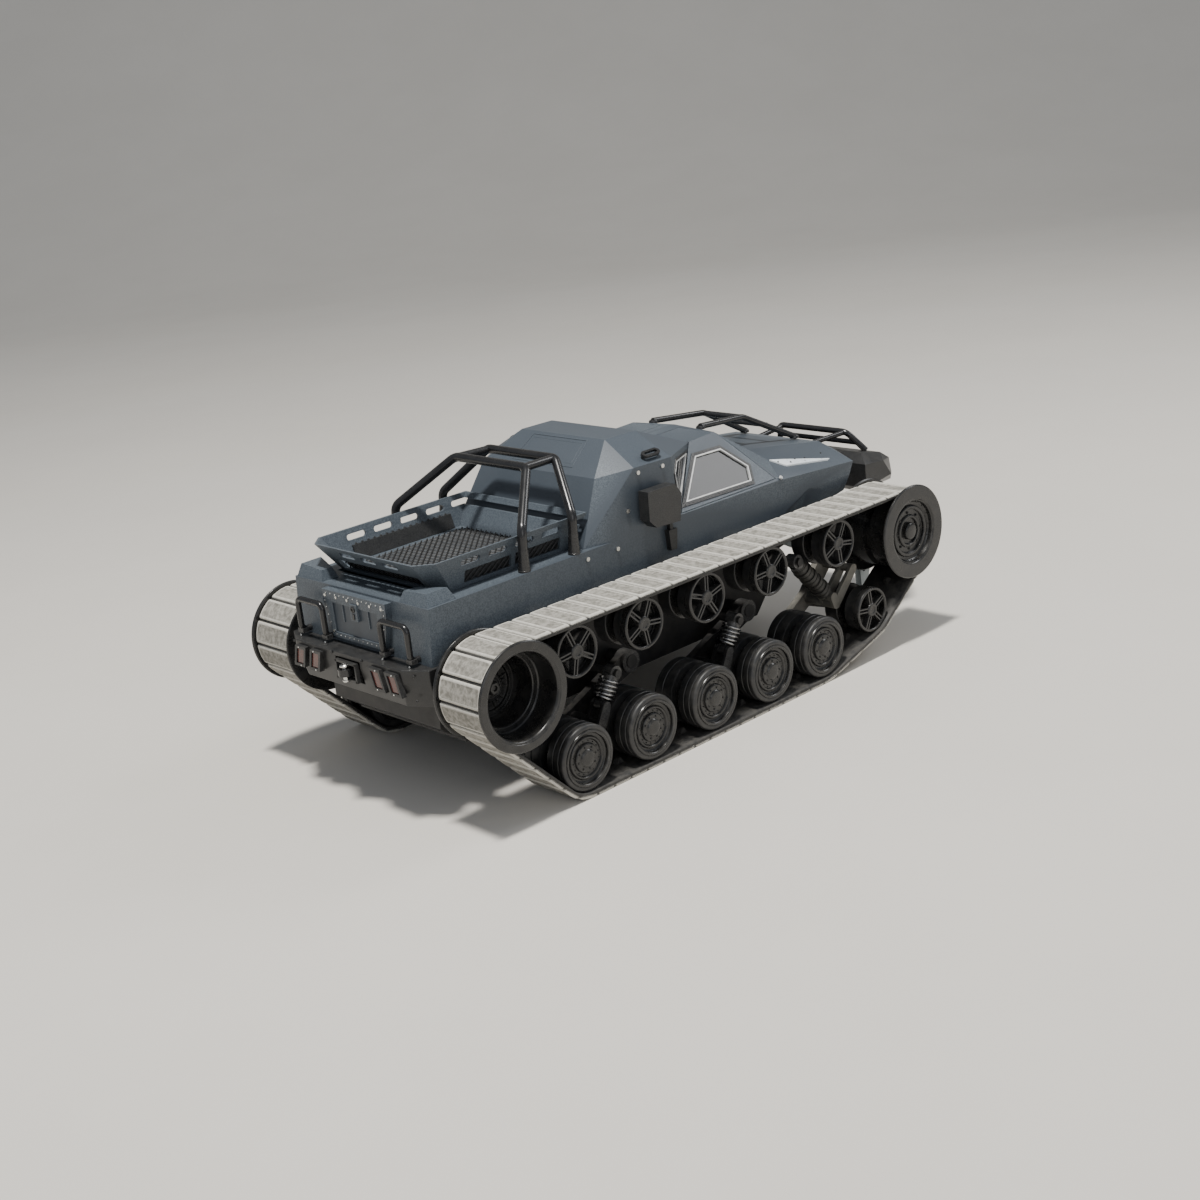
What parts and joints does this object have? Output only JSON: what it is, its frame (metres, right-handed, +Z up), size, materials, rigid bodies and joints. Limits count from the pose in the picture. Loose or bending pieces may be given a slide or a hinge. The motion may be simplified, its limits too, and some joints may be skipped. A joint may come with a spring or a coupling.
{
  "type": "tracked armoured vehicle model",
  "caption": "Hobby-scale tracked armoured vehicle: faceted body with load bed and gull-wing doors on two rubber belts, with sprung bogies, return rollers and roll cage.",
  "frame": {"origin": "on the floor under the middle of the bounding box", "axes": "+X to the front of the vehicle, +Y to its left side, +Z up"},
  "size_m": [0.547, 0.2698, 0.2177],
  "materials": {
    "body_paint": "satin slate blue-grey paint on a moulded shell",
    "tinted_glass": "dark tinted clear plastic",
    "black_plastic": "satin black moulded plastic",
    "black_tube": "semi-gloss black",
    "wheel_plastic": "semi-gloss black nylon with light dust",
    "track_rubber": "dusty pale grey-beige rubber",
    "cast_alloy": "sand-cast light grey",
    "dark_metal": "dark oxide",
    "spring_steel": "drawn wire",
    "screw_steel": "bright zinc",
    "tail_lens": "brownish red lens",
    "lamp_white": "white lamp panel",
    "battery_wrap": "shrink wrap",
    "anodised_case": "black anodised"
  },
  "bodies": {
    "chassis": {"hull_shell": "body_paint", "quarter_glass": "tinted_glass", "shock_bodies": "dark_metal", "shock_springs": "spring_steel", "chassis_tub": "black_plastic", "idler_brackets": "cast_alloy", "cargo_tray": "body_paint", "bed_grilles": "black_plastic", "roll_cage": "black_tube", "front_guards": "black_tube", "front_bumper": "black_plastic", "rear_bumper": "black_plastic", "tail_lamps": "tail_lens", "body_fittings": "black_tube", "tailgate_plate": "body_paint", "side_mirrors": "black_plastic", "head_lamps": "lamp_white", "body_screws": "screw_steel", "battery_pack": "battery_wrap", "drive_motors": "dark_metal", "controller": "anodised_case", "cockpit_tub": "black_plastic", "track_belt_left": "track_rubber", "track_belt_right": "track_rubber"},
    "drive_wheel_left": {"drive_wheel_left": "wheel_plastic"},
    "idler_wheel_left": {"idler_wheel_left": "wheel_plastic"},
    "bogie_left_1": {"bogie_arm_left_1": "dark_metal"},
    "bogie_left_2": {"bogie_arm_left_2": "dark_metal"},
    "bogie_left_3": {"bogie_arm_left_3": "dark_metal"},
    "road_wheel_left_1": {"road_wheel_left_1": "wheel_plastic"},
    "road_wheel_left_2": {"road_wheel_left_2": "wheel_plastic"},
    "road_wheel_left_3": {"road_wheel_left_3": "wheel_plastic"},
    "road_wheel_left_4": {"road_wheel_left_4": "wheel_plastic"},
    "road_wheel_left_5": {"road_wheel_left_5": "wheel_plastic"},
    "small_wheel_left": {"small_wheel_left": "wheel_plastic"},
    "return_roller_left_1": {"return_roller_left_1": "wheel_plastic"},
    "return_roller_left_2": {"return_roller_left_2": "wheel_plastic"},
    "return_roller_left_3": {"return_roller_left_3": "wheel_plastic"},
    "return_roller_left_4": {"return_roller_left_4": "wheel_plastic"},
    "return_roller_left_5": {"return_roller_left_5": "wheel_plastic"},
    "door_left": {"door_left": "body_paint", "door_glass_left": "tinted_glass"},
    "drive_wheel_right": {"drive_wheel_right": "wheel_plastic"},
    "idler_wheel_right": {"idler_wheel_right": "wheel_plastic"},
    "bogie_right_1": {"bogie_arm_right_1": "dark_metal"},
    "bogie_right_2": {"bogie_arm_right_2": "dark_metal"},
    "bogie_right_3": {"bogie_arm_right_3": "dark_metal"},
    "road_wheel_right_1": {"road_wheel_right_1": "wheel_plastic"},
    "road_wheel_right_2": {"road_wheel_right_2": "wheel_plastic"},
    "road_wheel_right_3": {"road_wheel_right_3": "wheel_plastic"},
    "road_wheel_right_4": {"road_wheel_right_4": "wheel_plastic"},
    "road_wheel_right_5": {"road_wheel_right_5": "wheel_plastic"},
    "small_wheel_right": {"small_wheel_right": "wheel_plastic"},
    "return_roller_right_1": {"return_roller_right_1": "wheel_plastic"},
    "return_roller_right_2": {"return_roller_right_2": "wheel_plastic"},
    "return_roller_right_3": {"return_roller_right_3": "wheel_plastic"},
    "return_roller_right_4": {"return_roller_right_4": "wheel_plastic"},
    "return_roller_right_5": {"return_roller_right_5": "wheel_plastic"},
    "door_right": {"door_right": "body_paint", "door_glass_right": "tinted_glass"}
  },
  "joints": [
    {"name": "drive_spin_left", "type": "hinge", "parent": "chassis", "child": "drive_wheel_left", "pos_m": [-0.2215, 0.11025, 0.093], "axis": [0, 1, 0], "continuous": true},
    {"name": "idler_spin_left", "type": "hinge", "parent": "chassis", "child": "idler_wheel_left", "pos_m": [0.1985, 0.11025, 0.093], "axis": [0, 1, 0], "continuous": true},
    {"name": "bogie_swing_left_1", "type": "hinge", "parent": "chassis", "child": "bogie_left_1", "pos_m": [-0.0774, 0.079, 0.0615], "axis": [0, 1, 0], "range_deg": [0, 2.6], "stiffness_Nm_per_rad": 1.5, "springref_deg": -5.73, "deforming": ["shock_springs"]},
    {"name": "bogie_swing_left_2", "type": "hinge", "parent": "chassis", "child": "bogie_left_2", "pos_m": [0.05165, 0.079, 0.0615], "axis": [0, 1, 0], "range_deg": [0, 2.6], "stiffness_Nm_per_rad": 1.5, "springref_deg": -5.73, "deforming": ["shock_springs"]},
    {"name": "bogie_swing_left_3", "type": "hinge", "parent": "chassis", "child": "bogie_left_3", "pos_m": [0.1585, 0.079, 0.084], "axis": [0, 1, 0], "range_deg": [0, 2.6], "stiffness_Nm_per_rad": 1.5, "springref_deg": -5.73, "deforming": ["shock_springs"]},
    {"name": "road_spin_left_1", "type": "hinge", "parent": "bogie_left_1", "child": "road_wheel_left_1", "pos_m": [-0.1687, 0.11025, 0.0288], "axis": [0, 1, 0], "continuous": true},
    {"name": "road_spin_left_2", "type": "hinge", "parent": "bogie_left_1", "child": "road_wheel_left_2", "pos_m": [-0.1041, 0.11025, 0.0288], "axis": [0, 1, 0], "continuous": true},
    {"name": "road_spin_left_3", "type": "hinge", "parent": "bogie_left_2", "child": "road_wheel_left_3", "pos_m": [-0.0391, 0.11025, 0.0288], "axis": [0, 1, 0], "continuous": true},
    {"name": "road_spin_left_4", "type": "hinge", "parent": "bogie_left_2", "child": "road_wheel_left_4", "pos_m": [0.0244, 0.11025, 0.0288], "axis": [0, 1, 0], "continuous": true},
    {"name": "road_spin_left_5", "type": "hinge", "parent": "bogie_left_3", "child": "road_wheel_left_5", "pos_m": [0.0854, 0.11025, 0.0288], "axis": [0, 1, 0], "continuous": true},
    {"name": "small_spin_left", "type": "hinge", "parent": "bogie_left_3", "child": "small_wheel_left", "pos_m": [0.148, 0.11025, 0.0405], "axis": [0, 1, 0], "continuous": true},
    {"name": "roller_spin_left_1", "type": "hinge", "parent": "chassis", "child": "return_roller_left_1", "pos_m": [-0.1649, 0.11025, 0.1053], "axis": [0, 1, 0], "continuous": true},
    {"name": "roller_spin_left_2", "type": "hinge", "parent": "chassis", "child": "return_roller_left_2", "pos_m": [-0.1004, 0.11025, 0.1053], "axis": [0, 1, 0], "continuous": true},
    {"name": "roller_spin_left_3", "type": "hinge", "parent": "chassis", "child": "return_roller_left_3", "pos_m": [-0.0359, 0.11025, 0.1053], "axis": [0, 1, 0], "continuous": true},
    {"name": "roller_spin_left_4", "type": "hinge", "parent": "chassis", "child": "return_roller_left_4", "pos_m": [0.0343, 0.11025, 0.1053], "axis": [0, 1, 0], "continuous": true},
    {"name": "roller_spin_left_5", "type": "hinge", "parent": "chassis", "child": "return_roller_left_5", "pos_m": [0.1137, 0.11025, 0.1053], "axis": [0, 1, 0], "continuous": true},
    {"name": "door_lift_left", "type": "hinge", "parent": "chassis", "child": "door_left", "pos_m": [0.0495, 0.01, 0.1985], "axis": [1, 0, 0], "range_deg": [0, 70]},
    {"name": "drive_spin_right", "type": "hinge", "parent": "chassis", "child": "drive_wheel_right", "pos_m": [-0.2215, -0.11025, 0.093], "axis": [0, 1, 0], "continuous": true},
    {"name": "idler_spin_right", "type": "hinge", "parent": "chassis", "child": "idler_wheel_right", "pos_m": [0.1985, -0.11025, 0.093], "axis": [0, 1, 0], "continuous": true},
    {"name": "bogie_swing_right_1", "type": "hinge", "parent": "chassis", "child": "bogie_right_1", "pos_m": [-0.0774, -0.079, 0.0615], "axis": [0, 1, 0], "range_deg": [0, 2.6], "stiffness_Nm_per_rad": 1.5, "springref_deg": -5.73, "deforming": ["shock_springs"]},
    {"name": "bogie_swing_right_2", "type": "hinge", "parent": "chassis", "child": "bogie_right_2", "pos_m": [0.05165, -0.079, 0.0615], "axis": [0, 1, 0], "range_deg": [0, 2.6], "stiffness_Nm_per_rad": 1.5, "springref_deg": -5.73, "deforming": ["shock_springs"]},
    {"name": "bogie_swing_right_3", "type": "hinge", "parent": "chassis", "child": "bogie_right_3", "pos_m": [0.1585, -0.079, 0.084], "axis": [0, 1, 0], "range_deg": [0, 2.6], "stiffness_Nm_per_rad": 1.5, "springref_deg": -5.73, "deforming": ["shock_springs"]},
    {"name": "road_spin_right_1", "type": "hinge", "parent": "bogie_right_1", "child": "road_wheel_right_1", "pos_m": [-0.1687, -0.11025, 0.0288], "axis": [0, 1, 0], "continuous": true},
    {"name": "road_spin_right_2", "type": "hinge", "parent": "bogie_right_1", "child": "road_wheel_right_2", "pos_m": [-0.1041, -0.11025, 0.0288], "axis": [0, 1, 0], "continuous": true},
    {"name": "road_spin_right_3", "type": "hinge", "parent": "bogie_right_2", "child": "road_wheel_right_3", "pos_m": [-0.0391, -0.11025, 0.0288], "axis": [0, 1, 0], "continuous": true},
    {"name": "road_spin_right_4", "type": "hinge", "parent": "bogie_right_2", "child": "road_wheel_right_4", "pos_m": [0.0244, -0.11025, 0.0288], "axis": [0, 1, 0], "continuous": true},
    {"name": "road_spin_right_5", "type": "hinge", "parent": "bogie_right_3", "child": "road_wheel_right_5", "pos_m": [0.0854, -0.11025, 0.0288], "axis": [0, 1, 0], "continuous": true},
    {"name": "small_spin_right", "type": "hinge", "parent": "bogie_right_3", "child": "small_wheel_right", "pos_m": [0.148, -0.11025, 0.0405], "axis": [0, 1, 0], "continuous": true},
    {"name": "roller_spin_right_1", "type": "hinge", "parent": "chassis", "child": "return_roller_right_1", "pos_m": [-0.1649, -0.11025, 0.1053], "axis": [0, 1, 0], "continuous": true},
    {"name": "roller_spin_right_2", "type": "hinge", "parent": "chassis", "child": "return_roller_right_2", "pos_m": [-0.1004, -0.11025, 0.1053], "axis": [0, 1, 0], "continuous": true},
    {"name": "roller_spin_right_3", "type": "hinge", "parent": "chassis", "child": "return_roller_right_3", "pos_m": [-0.0359, -0.11025, 0.1053], "axis": [0, 1, 0], "continuous": true},
    {"name": "roller_spin_right_4", "type": "hinge", "parent": "chassis", "child": "return_roller_right_4", "pos_m": [0.0343, -0.11025, 0.1053], "axis": [0, 1, 0], "continuous": true},
    {"name": "roller_spin_right_5", "type": "hinge", "parent": "chassis", "child": "return_roller_right_5", "pos_m": [0.1137, -0.11025, 0.1053], "axis": [0, 1, 0], "continuous": true},
    {"name": "door_lift_right", "type": "hinge", "parent": "chassis", "child": "door_right", "pos_m": [0.0495, -0.01, 0.1985], "axis": [-1, 0, 0], "range_deg": [0, 70]}
  ],
  "couplings": [
    {"joint": "idler_spin_left", "follows": "drive_spin_left", "ratio": 1},
    {"joint": "road_spin_left_1", "follows": "drive_spin_left", "ratio": 1.2893},
    {"joint": "road_spin_left_2", "follows": "drive_spin_left", "ratio": 1.2893},
    {"joint": "road_spin_left_3", "follows": "drive_spin_left", "ratio": 1.2893},
    {"joint": "road_spin_left_4", "follows": "drive_spin_left", "ratio": 1.2893},
    {"joint": "road_spin_left_5", "follows": "drive_spin_left", "ratio": 1.2893},
    {"joint": "small_spin_left", "follows": "drive_spin_left", "ratio": 1.7049},
    {"joint": "roller_spin_left_1", "follows": "drive_spin_left", "ratio": 1.6552},
    {"joint": "roller_spin_left_2", "follows": "drive_spin_left", "ratio": 1.6552},
    {"joint": "roller_spin_left_3", "follows": "drive_spin_left", "ratio": 1.6552},
    {"joint": "roller_spin_left_4", "follows": "drive_spin_left", "ratio": 1.6552},
    {"joint": "roller_spin_left_5", "follows": "drive_spin_left", "ratio": 1.6552},
    {"joint": "idler_spin_right", "follows": "drive_spin_right", "ratio": 1},
    {"joint": "road_spin_right_1", "follows": "drive_spin_right", "ratio": 1.2893},
    {"joint": "road_spin_right_2", "follows": "drive_spin_right", "ratio": 1.2893},
    {"joint": "road_spin_right_3", "follows": "drive_spin_right", "ratio": 1.2893},
    {"joint": "road_spin_right_4", "follows": "drive_spin_right", "ratio": 1.2893},
    {"joint": "road_spin_right_5", "follows": "drive_spin_right", "ratio": 1.2893},
    {"joint": "small_spin_right", "follows": "drive_spin_right", "ratio": 1.7049},
    {"joint": "roller_spin_right_1", "follows": "drive_spin_right", "ratio": 1.6552},
    {"joint": "roller_spin_right_2", "follows": "drive_spin_right", "ratio": 1.6552},
    {"joint": "roller_spin_right_3", "follows": "drive_spin_right", "ratio": 1.6552},
    {"joint": "roller_spin_right_4", "follows": "drive_spin_right", "ratio": 1.6552},
    {"joint": "roller_spin_right_5", "follows": "drive_spin_right", "ratio": 1.6552}
  ]
}
